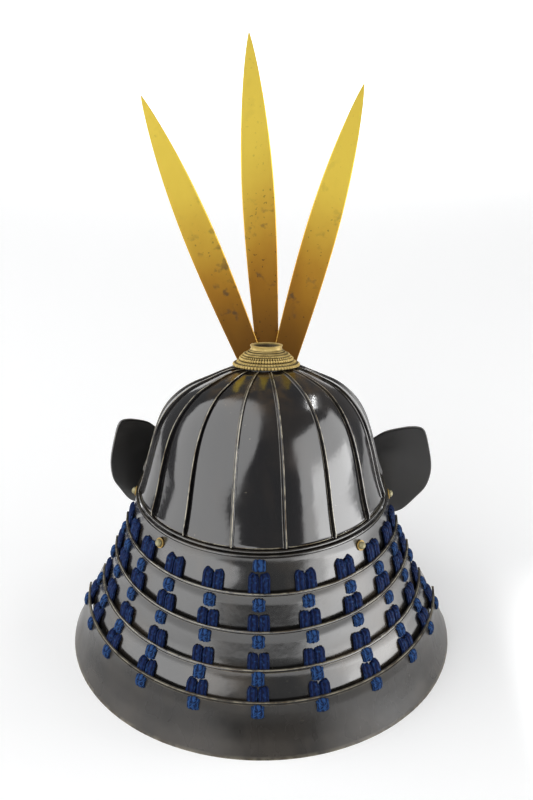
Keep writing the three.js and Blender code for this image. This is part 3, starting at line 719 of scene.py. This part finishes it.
def wing_stations(side, turn, reach, lift):
    """Stations of a wing from the curve outwards: top, bottom, where a corner goes, and dullness."""
    stations = []
    for i in range(1, RUN_STEPS + 1):
        angle, stand_off, top, bottom = smooth_row(WING_RUN, i / RUN_STEPS)
        a, radius = math.radians(angle), rim_radius(0, angle) + stand_off
        leaned = on_wing(side, radius * math.sin(a), radius * math.cos(a), math.pi / 2 - a)
        share = clamp((angle - WING_START) / (WING_RUN[1][0] - WING_START))
        stations.append((top, bottom, between(on_arc(side * angle), leaned, share), 0.7 * i / RUN_STEPS))
    before, after = math.pi / 2 - a, math.radians(90 + turn)
    centre = Vector((math.sin(a), math.cos(a))) * (radius + FOLD_RADIUS)
    for i in range(1, FOLD_STEPS + 1):
        heading = lerp(before, after, i / FOLD_STEPS)
        fold = centre - FOLD_RADIUS * Vector((math.cos(heading), math.sin(heading)))
        rise = lift * i / FOLD_STEPS
        stations.append((top + rise, bottom + rise, on_wing(side, *fold, heading), 1.0))
    for i in range(1, WING_STEPS + 1):
        out, top, bottom = smooth_row(WING_OUTLINE, i / WING_STEPS)
        place = fold + out * reach * Vector((math.sin(after), -math.cos(after)))
        stations.append((top + lift, bottom + lift, on_wing(side, *place, after), 1.0))
    return stations


arc = []
for i in range(ARC_STEPS + 1):
    angle = lerp(-WING_START, WING_START, i / ARC_STEPS)
    arc.append((rim_height(0, angle), lame_bottom(0, angle), on_arc(angle), 0.0))
left_wing, right_wing = (wing_stations(*wing) for wing in WINGS)
FIRST_STATIONS = right_wing[::-1] + arc + left_wing


def first_corner(column, station):
    top, bottom, place, dull_and_shade = FIRST_STATIONS[station]
    row = LAME_SECTION[column]
    height = corner_height(row, top, bottom)
    edge = station in (0, len(FIRST_STATIONS) - 1)
    return place(height, row[2]), (max(row[3] * lerp(0.25, 0.5, dull_and_shade), 0.4 * edge), dull_and_shade)


bm = wall(len(LAME_SECTION), len(FIRST_STATIONS), first_corner)
first_lame = add_piece(bm, "neck_lame_1_lacquered", lame_lacquer, ["neck_lame_1"])
print("first lame with wings:", len(first_lame.data.polygons), "faces")

# %% [markdown]
# ## Silk lacing
# In each of eleven columns a braided cord comes out through a lame as a pair of strands, drops behind the
# next rim, and shows again below it as a small crossed knot. A cord could be a curve with a bevel, but a
# braid is flat, not round, and its map has to run along it. So each strand is a grid rolled into a flat
# tube around its own path, with the plaits as low ridges in the mesh and the fine chevrons in the finish.

# %% Strands
COLUMNS = [-82, -67.8, -52.3, -35.2, -17.6, 0, 17.6, 35.2, 52.3, 67.8, 82]
LACING = [(12, 0), (10.6, 9), (10.5, 8), (8, 6.2), (0, 6.8)]  # rise of the pair, depth of the knot
STRAND_HALF, STRAND_THICK = 4.25, 1.7
KNOT_HALF_WIDTH, KNOT_HALF_HEIGHT, CROSS_HALF_WIDTH = 4.9, 3.5, 1.9
# A knot pad carries this much painted light, a crossing strand all of it and a pair none, so the knots look
# lit and the pairs shaded.
PAD_THICK, CROSS_THICK, LIT_KNOT = 1.5, 1.1, 0.9
STRAND_SIDES, STRAND_STEPS = 28, 24
RIDGES, RIDGE_HEIGHT = 7, 0.22
HIDDEN_RUN = 8  # how far a pair goes on behind the next rim


def strand(bm, lame, angle, path, half_width, thickness, lit_share, drawn_in):
    """A flat cord along path, rows of (across, height, out) on a lame; drawn_in(share) narrows it."""
    count = STRAND_STEPS + 1
    points = []
    for i in range(count):
        across, height, out = smooth_row(path, i / STRAND_STEPS)
        turn = angle + math.degrees(across / lame_radius(lame, angle, height))
        points.append(around(turn, lame_radius(lame, turn, height) + out, height))
    middle = path[len(path) // 2][1]
    flare = lame_radius(lame, angle, middle - 1) - lame_radius(lame, angle, middle)
    axis_out = (around(angle, 1, flare) - around(angle, 0, 0)).normalized()
    length = sum((b - a).length for a, b in zip(points, points[1:]))

    def corner(column, station):
        along = (points[min(station + 1, count - 1)] - points[max(station - 1, 0)]).normalized()
        side = along.cross(axis_out)
        side = side.normalized() if side.length > 0.2 else axis_out.cross(Vector((0, 0, 1))).normalized()
        face = side.cross(along).normalized()
        a = 2 * math.pi * column / STRAND_SIDES
        full = drawn_in(station / STRAND_STEPS)
        ridge = 1 + RIDGE_HEIGHT * math.cos(RIDGES * math.pi * math.cos(a) / 2) * abs(math.sin(a))
        flat = math.copysign(abs(math.cos(a)) ** 0.8, math.cos(a)) * half_width * full
        bulge = math.copysign(abs(math.sin(a)) ** 0.8, math.sin(a)) * thickness * ridge
        return points[station] + (side * flat + face * bulge) * MM, (lit_share, 0.0)

    uv = bm.loops.layers.uv["UVMap"]
    before = len(bm.faces)
    laid_grid(bm, STRAND_SIDES, count, corner)
    bm.faces.ensure_lookup_table()
    for face in bm.faces[before:]:
        for loop in face.loops:
            loop[uv].uv.y *= length


def round_top(share):
    return 0.62 + 0.38 * math.sin(math.pi / 2 * clamp((share - 0.06) / 0.4)) ** 0.8


def drawn_ends(narrowest, power):
    return lambda share: narrowest + (1 - narrowest) * math.sin(math.pi * share) ** power


ROUND_ENDS, KNOT_ENDS, SQUARE_ENDS = drawn_ends(0.72, 0.5), drawn_ends(0.66, 0.7), drawn_ends(0.86, 0.4)


def pair_of_strands(bm, lame, angle):
    top = rim_height(lame + 1, angle) + LACING[lame][0]
    foot = rim_height(lame + 1, angle) - HIDDEN_RUN
    for side in (-1, 1):
        across = side * (STRAND_HALF + 0.1)
        path = [
            (across * 0.9, top - 4.2, -1.6), (across * 0.93, top - 2.2, -0.6),
            (across * 0.97, top - 1.5, 0.7), (across, top - 3.0, 1.9), (across, top - 6.0, 2.0),
            (across * 1.03, lerp(top, foot, 0.6), 1.9), (across, lerp(top, foot, 0.8), 1.8),
            (across, foot, 1.8),
        ]
        # The pairs get no painted light, so they keep the darker, shaded blue.
        strand(bm, lame, angle, path, STRAND_HALF, STRAND_THICK, 0.0, round_top)


def upright_pad(middle, half_height):
    """A short path that comes out of the metal, lies flat, and goes in again."""
    rises = [(1, -1.0), (1, 0.4), (0.55, 1.1), (0, 1.25), (-0.55, 1.1), (-1, 0.4), (-1, -1.0)]
    return [(0, middle + share * half_height, out) for share, out in rises]


def crossed_knot(bm, lame, angle):
    """A soft square of braid with two strands crossed over it."""
    middle = rim_height(lame, angle) - LACING[lame][1]
    pad = upright_pad(middle, KNOT_HALF_HEIGHT)
    strand(bm, lame, angle, pad, KNOT_HALF_WIDTH, PAD_THICK, LIT_KNOT, KNOT_ENDS)
    for slant, lift in ((1, 0.0), (-1, 0.15)):
        half_path = [(3.6, 3.0, -1.0), (3.5, 2.9, 0.7), (1.9, 1.5, 1.5 + lift)]
        path = [(-across, middle - slant * rise, out) for across, rise, out in half_path]
        path += [(0, middle, 1.7 + lift)]
        path += [(across, middle + slant * rise, out) for across, rise, out in half_path[::-1]]
        strand(bm, lame, angle, path, CROSS_HALF_WIDTH, CROSS_THICK, 1.0, ROUND_ENDS)


print("a strand has", STRAND_SIDES * STRAND_STEPS, "faces")

# %% Columns of lacing
TIE_DROP, TIE_HALF_WIDTH, TIE_HALF_HEIGHT = 7.4, 5.2, 2.9
laces = []
for number, angle in enumerate(COLUMNS, 1):
    bm = new_mesh()
    for lame in range(LOWEST):
        pair_of_strands(bm, lame, angle)
        crossed_knot(bm, lame + 1, angle)
    close_ends(bm)
    node = "lace_%02d" % number
    laces.append(add_piece(bm, node + "_braid", blue_silk, [node], sharp=60))

bm = new_mesh()
tie_pad = upright_pad(rim_height(0, 0) - TIE_DROP, TIE_HALF_HEIGHT)
strand(bm, 0, 0, tie_pad, TIE_HALF_WIDTH, PAD_THICK, LIT_KNOT, SQUARE_ENDS)
close_ends(bm)
add_piece(bm, "lace_tie_braid", blue_silk, ["lace_tie"], sharp=60)
print(len(laces), "columns,", sum(len(p.data.polygons) for p in laces), "faces in all")

# %% [markdown]
# ## The crown fitting
# Four rings of soft brass are stacked on the open crown: a scalloped foot, a band with two rows of beads,
# a ring like a twisted rope, and a plain flared collar with a hole right through. Each is one section
# swept round. The scallops and the rope are the same ring with its radius waving as it goes round, and
# the beads are small spheres, set one by one.

# %% Crown rings
CROWN_HEIGHT, CROWN_TILT = 111.2, 12
crown_turn = Matrix.Rotation(math.radians(CROWN_TILT), 4, "X")
CROWN = Matrix.Translation(spot(CROWN_SHIFT, 0, CROWN_HEIGHT)) @ crown_turn
RING_STEPS = 480


def crown_place(angle, radius, height):
    a = math.radians(angle)
    return CROWN @ (Vector((radius * math.sin(a), radius * math.cos(a), height)) * MM)


def waved_ring(name, section, lobes, slant, node):
    """A turned ring; each corner is radius, height, how far it waves, and how much painted shade it gets.
    """
    def place(angle, corner):
        radius, height, depth, hollow_shade = corner
        wave = 2 * abs(math.cos(math.radians(lobes / 2 * (angle + slant * height)))) - 1
        # The troughs of the waves get painted shade as well.
        groove = max(0.0, -0.1 - wave) / 0.9 if depth else 0.0
        return crown_place(angle, radius + depth * (wave - 1) / 2, height), (0.0, max(hollow_shade, groove * 0.5))

    return add_piece(ring_of(section, RING_STEPS, place), name, soft_brass, [node], sharp=50)


# In the four tables below, the last number of a corner is painted shade for hollows and undersides.
PETALS = [  # radius, height, depth of the waves, how hollow it looks
    (17, 0, 0, 1), (26.4, 0, 0.6, 1), (27.7, 0.3, 2.2, 0.3), (27.9, 1.0, 2.0, 0), (27.6, 1.9, 1.4, 0),
    (26.9, 2.5, 0.4, 0.2), (26.0, 2.6, 0.2, 1), (25.3, 2.7, 1.2, 0.9), (24.6, 3.5, 1.5, 0),
    (23.4, 4.1, 1.2, 0), (22.4, 4.3, 0.3, 0.9), (17, 4.3, 0, 1),
]
ROPE = [
    (12, 8.5, 0, 1), (18.2, 8.5, 0, 1), (19.3, 8.8, 0.7, 0.4), (19.4, 9.5, 0.9, 0), (18.8, 10.1, 0.8, 0),
    (17.4, 10.1, 0.2, 1), (16.9, 10.4, 0.8, 0.6), (16.3, 11.2, 0.7, 0), (15.2, 11.6, 0.2, 0.9),
    (12, 11.6, 0, 0.9),
]
COLLAR = [
    (8.5, 11.9, 0, 0.9), (14.4, 11.9, 0, 0.9), (14.6, 12.4, 0, 0), (13.9, 13.0, 0, 0.9), (12.9, 13.6, 0, 0),
    (12.6, 14.6, 0, 0), (12.8, 15.6, 0, 0), (13.3, 16.3, 0, 0), (13.4, 16.8, 0, 0), (12.9, 17.0, 0, 0),
    (11.4, 16.9, 0, 0.1), (10.0, 16.2, 0, 0.8), (8.8, 15.4, 0, 1), (8.5, 14.0, 0, 1),
]
BEAD_BAND = [
    (15, 4.7, 0, 0.7), (20.9, 4.7, 0, 1), (21.0, 5.4, 0, 1), (20.7, 6.4, 0, 1), (19.8, 7.2, 0, 1),
    (18.8, 8.2, 0, 0.7), (15, 8.2, 0, 0.7),
]
PETAL_COUNT, ROPE_TURNS, ROPE_SLANT = 60, 72, 1.5
petal_ring = waved_ring("crown_petal_ring_brass", PETALS, PETAL_COUNT, 0, "crown_petal_ring")
rope_ring = waved_ring("crown_rope_ring_brass", ROPE, ROPE_TURNS, ROPE_SLANT, "crown_step_ring")
collar = waved_ring("crown_collar_brass", COLLAR, 1, 0, "crown_collar")
bead_band = waved_ring("crown_bead_band_brass", BEAD_BAND, 1, 0, "crown_bead_ring")
print("rings:", [len(p.data.polygons) for p in (petal_ring, rope_ring, collar, bead_band)])

# %% Beads
BEAD_ROWS = [(60, 21.4, 5.9, 1.08), (60, 20.0, 7.7, 0.7)]  # how many, ring's radius, height, bead's radius
bead_shape = Matrix.Diagonal((1, 1, 1.25, 1))
bm = new_mesh()
for count, radius, height, size in BEAD_ROWS:
    for i in range(count):
        place = Matrix.Translation(crown_place(360 * i / count, radius, height)) @ bead_shape
        bmesh.ops.create_icosphere(bm, subdivisions=2, radius=size * MM, matrix=place)
beads = add_piece(bm, "crown_beads_brass", soft_brass, sharp=180)
print("beads:", len(beads.data.polygons), "faces")

# %% [markdown]
# ## Rivets
# Four domed rivets on dished washers hold the first lame to the band. They are turned, so the grid is half
# a profile carried round the rivet's own axis, which leans with the flare of the lame.

# %% Rivets
RIVET_PLACES = [(45.8, -12.6), (91, -8.6)]  # angle, height
RIVET_PROFILE = [  # radius, distance out from the lame: foot, shank, washer, dome
    (0, -7.0), (2.8, -7.0), (2.8, -5.8), (1.6, -5.8), (1.6, 0.4),
    (3.6, 0.3), (4.2, 0.5), (4.35, 1.0), (4.1, 1.35), (3.5, 1.2),
    (3.15, 1.3), (3.1, 1.9), (2.95, 2.8), (2.5, 3.6), (1.8, 4.2), (0.9, 4.5), (0, 4.6),
]
WASHER_EDGE, WASHER_FOOT = 3.3, 3.05
RIVET_SIDES = 28


def rivet(number, angle, height):
    face = lame_radius(0, angle, height)
    flare = lame_radius(0, angle, height - 1) - face
    foot = around(angle, face, height)
    out = (around(angle, face + 1, height + flare) - foot).normalized()
    stand = facing(foot, out)

    def corner(column, station):
        radius, rise = RIVET_PROFILE[station]
        wear_and_lit = 1.0 if radius > WASHER_EDGE else 0.0
        # The crevice between dome and washer carries painted shade.
        dull_and_shade = 0.8 if WASHER_FOOT < radius < WASHER_EDGE and rise < 1.5 else 0.0
        a = 2 * math.pi * column / RIVET_SIDES
        return stand @ (Vector((radius * math.cos(a), radius * math.sin(a), rise)) * MM), (wear_and_lit, dull_and_shade)

    bm = new_mesh()
    laid_grid(bm, RIVET_SIDES, len(RIVET_PROFILE), corner)
    node = "rivet_%d" % number
    return add_piece(bm, node + "_brass", rivet_brass, [node], sharp=40)


rivet_spots = [(side * angle, height) for angle, height in RIVET_PLACES for side in (1, -1)]
rivets = [rivet(number, *place) for number, place in enumerate(rivet_spots, 1)]
print(len(rivets), "rivets,", len(rivets[0].data.polygons), "faces each")

# %% [markdown]
# ## The peak
# The photograph doesn't show the front, so the peak is a plain brim: a flange against the band and a
# sheet that falls away, widest in the middle. One section swept across the brow makes it.

# %% Peak
PEAK_HALF_ANGLE, PEAK_FLANGE = 53, 10
PEAK_REACH, PEAK_END_REACH, PEAK_DROP, PEAK_END_DROP = 44, 9, 16, 6
PEAK_STATIONS, PEAK_CORNERS = 61, 16


def peak_corner(column, station):
    turn = 2 * station / (PEAK_STATIONS - 1) - 1
    angle = 180 + PEAK_HALF_ANGLE * turn
    reach, drop = lerp(PEAK_REACH, PEAK_END_REACH, turn**2), lerp(PEAK_DROP, PEAK_END_DROP, turn**2)
    root, top = bowl_radius(angle) - BAND_INSET + 2 * GAP, -LIP_HEIGHT - GAP
    elbow = top - PEAK_FLANGE
    t = LAME_THICKNESS
    section = [
        (root, top - 0.3, 0), (root + 0.3, top, 0.4), (root + t - 0.3, top, 0.6),
        (root + t, top - 0.3, 0.4), (root + t, lerp(top, elbow, 0.5), 0), (root + t, elbow + 0.8, 0),
        (root + t + 0.5, elbow, 0),
        (root + t + reach * 0.35, elbow - drop * 0.3, 0), (root + t + reach * 0.7, elbow - drop * 0.66, 0),
        (root + t + reach - 0.6, elbow - drop + 0.2, 0.7), (root + t + reach, elbow - drop - 0.2, 1.0),
        (root + reach + 1.0, elbow - drop - 1.2, 0.8), (root + reach * 0.65, elbow - drop * 0.66 - t, 0),
        (root + reach * 0.3, elbow - drop * 0.3 - t, 0), (root, elbow - t, 0),
        (root, lerp(top, elbow, 0.5), 0),
    ]
    radius, height, wear_and_lit = section[column]
    return around(angle, radius, height), (wear_and_lit, 0.0)


bm = wall(PEAK_CORNERS, PEAK_STATIONS, peak_corner)
peak = add_piece(bm, "peak_lacquered", lame_lacquer, ["peak"])
print("peak:", len(peak.data.polygons), "faces")

# %% [markdown]
# ## The crest
# Three leaf-shaped blades fan out of a sleeve above the brow. A blade is a thin plate with softly
# rounded edges, so it is a flat section, twelve corners around, whose width follows the leaf. The roots of
# the two side blades are sawn off along the middle, as in the frame, so that they meet.

# %% Blades
BLADE_WIDTH, BLADE_SHOULDER, BLADE_TANG, BLADE_THICKNESS = 29.0, 150.0, 14.0, 2.0
CREST_ROOT = (-5.8, 20.0)
CREST_LEAN, CREST_SPREAD = 3.4, 17.8
HOLDER_WALL = 1.5
HOLDER_BACK = -bowl_radius(180) - LIP_REACH - GAP
CREST_BACK = HOLDER_BACK - HOLDER_WALL - GAP
BLADE_SECTION = [  # share of the half width, depth, wear
    (-1, 0.45, 1), (-0.955, 0, 0), (-0.5, 0, 0), (0, 0, 0), (0.5, 0, 0), (0.955, 0, 0),
    (1, 0.45, 1), (1, 1.55, 1), (0.955, 2, 0), (0, 2, 0), (-0.955, 2, 0), (-1, 1.55, 1),
]
BLADE_STATIONS = 64
crest_turn = Matrix.Rotation(math.radians(CREST_LEAN), 4, "Y")
CREST_FRAME = Matrix.Translation(spot(CREST_ROOT[0], 0, CREST_ROOT[1])) @ crest_turn


def blade_half_width(from_tip):
    u = from_tip / BLADE_SHOULDER
    if u < 1:
        return BLADE_WIDTH / 2 * math.sin(math.pi / 2 * u**0.8)
    return BLADE_WIDTH / 2 * (0.8 + 0.2 * math.cos(math.pi * 0.7 * (u - 1)))


def blade(name, turn, length):
    layer = CREST_BACK - (BLADE_THICKNESS + GAP if turn == 0 else 0)

    def corner(column, station):
        share, depth, wear_and_lit = BLADE_SECTION[column]
        from_tip = (length + BLADE_TANG) * (station / (BLADE_STATIONS - 1)) ** 1.5
        half = max(0.25, blade_half_width(min(from_tip, length)))
        return Vector((share * half, layer - depth, length - from_tip)) * MM, (wear_and_lit, 0.0)

    bm = wall(len(BLADE_SECTION), BLADE_STATIONS, corner)
    bm.transform(Matrix.Rotation(math.radians(turn * CREST_SPREAD), 4, "Y"))
    if turn:
        everything = bm.verts[:] + bm.edges[:] + bm.faces[:]
        middle = Vector((turn * GAP / 2 * MM, 0, 0))
        bmesh.ops.bisect_plane(
            bm, geom=everything, plane_co=middle, plane_no=(-turn, 0, 0), clear_outer=True
        )
        close_ends(bm)
    bm.transform(CREST_FRAME)
    return add_piece(bm, name + "_gilded", worn_gilding, [name], sharp=30)


BLADES = [("crest_blade_left", 1, 310), ("crest_blade_centre", 0, 342), ("crest_blade_right", -1, 310)]
blades = [blade(*each) for each in BLADES]
print(len(blades), "blades,", [len(p.data.polygons) for p in blades], "faces")

# %% [markdown]
# ## The crest holder
# A plain rectangular sleeve on the root of the brim carries the crest. It is a box, so it starts as a cube:
# the lid is taken off, the walls get their thickness, and a bevel softens the edges.

# %% Crest holder
holder_low, holder_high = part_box("crest_holder")
bm = new_mesh()
size = holder_high - holder_low
stand = Matrix.Translation((holder_low + holder_high) / 2) @ Matrix.Diagonal((*size, 1))
bmesh.ops.create_cube(bm, size=1, matrix=stand)
lid = [f for f in bm.faces if f.normal.z > 0.9]
bmesh.ops.delete(bm, geom=lid, context="FACES_ONLY")
bmesh.ops.recalc_face_normals(bm, faces=bm.faces)
bmesh.ops.solidify(bm, geom=bm.faces[:], thickness=HOLDER_WALL * MM)
bmesh.ops.bevel(
    bm, geom=[e for e in bm.edges if e.calc_face_angle(0) > 1], offset=0.3 * MM, segments=2, profile=0.5,
    affect="EDGES", material=-1,
)
holder = add_piece(bm, "crest_holder_lacquered", lame_lacquer, ["crest_holder"])
print("holder:", len(holder.data.polygons), "faces,", [round(v, 4) for v in size], "m")

# %% [markdown]
# ## Floor, backdrop and light
# The helmet was photographed on white between two large soft boxes, one on each side of the camera, with
# the dark room between them: black lacquer shows that room better than its own colour. A low box and two
# brighter pools on the floor stand for the white table that the lames mirror, and a small lamp gives the
# one hard highlight. Each box is stated by where it stands, seen from the helmet, and by its brightness.

# %% Floor and backdrop
FLOOR_FRONT, FLOOR_SIDE, WALL_BEHIND = 0.62, 0.75, -2.3
WALL_SIDE, WALL_HEIGHT = 0.95, 0.6
FLOOR_GLOW, HORIZON_GLOW, POOL_GLOW, WALL_GLOW = 0.14, 0.6, 2.2, 0.95
RIGHT_POOL, LEFT_POOL = 1.0, 0.32


def pale_finish(name, colour, glow):
    return Finish(
        name, Base_Color=(colour,) * 3 + (1,), Roughness=0.9, Specular_IOR_Level=0.2,
        Emission_Color=(1, 1, 1, 1), Emission_Strength=glow,
    )


def floor_finish():
    """Glows more towards the horizon, and in a pool of light on each side for the lames to mirror."""
    finish = pale_finish("floor", 0.88, 1.0)
    far = finish.place("Y").ease(0.5, WALL_BEHIND)
    near = finish.place("Y").ease(-0.15, 0.1)
    right_pool = finish.place("X").ease(-0.2, -0.32) * near * RIGHT_POOL
    left_pool = finish.place("X").ease(0.2, 0.42) * near * LEFT_POOL
    lit = finish.blend(right_pool + left_pool, (FLOOR_GLOW,) * 3, (POOL_GLOW,) * 3)
    finish.wear_in(Emission_Color=finish.blend(far, lit, (HORIZON_GLOW,) * 3))
    return finish


def stage_sheet(finish, place, half_width, half_depth):
    """A flat sheet about the origin, carried to its place."""
    bm = bmesh.new()
    bmesh.ops.create_grid(bm, x_segments=1, y_segments=1, size=1)
    bm.transform(place @ Matrix.Diagonal((half_width, half_depth, 1, 1)))
    mesh_object(bm, finish.material.name, finish.material)


floor_place = Matrix.Translation((0, (FLOOR_FRONT + WALL_BEHIND) / 2, 0))
stage_sheet(floor_finish(), floor_place, FLOOR_SIDE, (FLOOR_FRONT - WALL_BEHIND) / 2)
upright_turn = Matrix.Rotation(math.radians(90), 4, "X")
wall_place = Matrix.Translation((0, WALL_BEHIND, WALL_HEIGHT / 2)) @ upright_turn
stage_sheet(pale_finish("backdrop", 0.86, WALL_GLOW), wall_place, WALL_SIDE, WALL_HEIGHT / 2)
print("floor and backdrop are staged")

# %% Lights
LOOK_AT = Vector((0, 0, 0.2))


def soft_box(name, azimuth, elevation, distance, width, height, brightness, shape):
    """A face of light seen from the helmet at an azimuth from the camera side towards its left."""
    a, e = math.radians(azimuth), math.radians(elevation)
    towards = Vector((math.sin(a) * math.cos(e), math.cos(a) * math.cos(e), math.sin(e)))
    lamp = bpy.data.lights.new(name, "AREA")
    lamp.shape, lamp.size, lamp.size_y = shape, width, height
    area = width * height * (math.pi / 4 if shape == "ELLIPSE" else 1)
    lamp.energy = brightness * math.pi * area
    put(name, lamp).matrix_world = facing(LOOK_AT + distance * towards, towards)


SOFT_BOXES = [  # name, azimuth, elevation, distance, width, height, brightness, shape
    ("left_round_box", 65, 30, 1.2, 2.85, 2.85, 1.75, "ELLIPSE"),
    ("right_soft_box", -75, 8, 1.3, 2.1, 1.0, 2.3, "RECTANGLE"),
    ("right_low_box", -80, -9, 1.25, 1.2, 0.4, 2.4, "RECTANGLE"),
    ("small_lamp", -111, 43, 1.3, 0.55, 0.02, 50.0, "RECTANGLE"),
]
for box in SOFT_BOXES:
    soft_box(*box)

ROOM_COLOUR, ROOM_LIGHT = (0.95, 0.97, 1.0, 1), 0.18
world = bpy.data.worlds.new("studio")
world.use_nodes = True
room = world.node_tree.nodes["Background"].inputs
room["Color"].default_value, room["Strength"].default_value = ROOM_COLOUR, ROOM_LIGHT
bpy.context.scene.world = world
bpy.context.scene.view_settings.view_transform = "Standard"
print("lights are set")
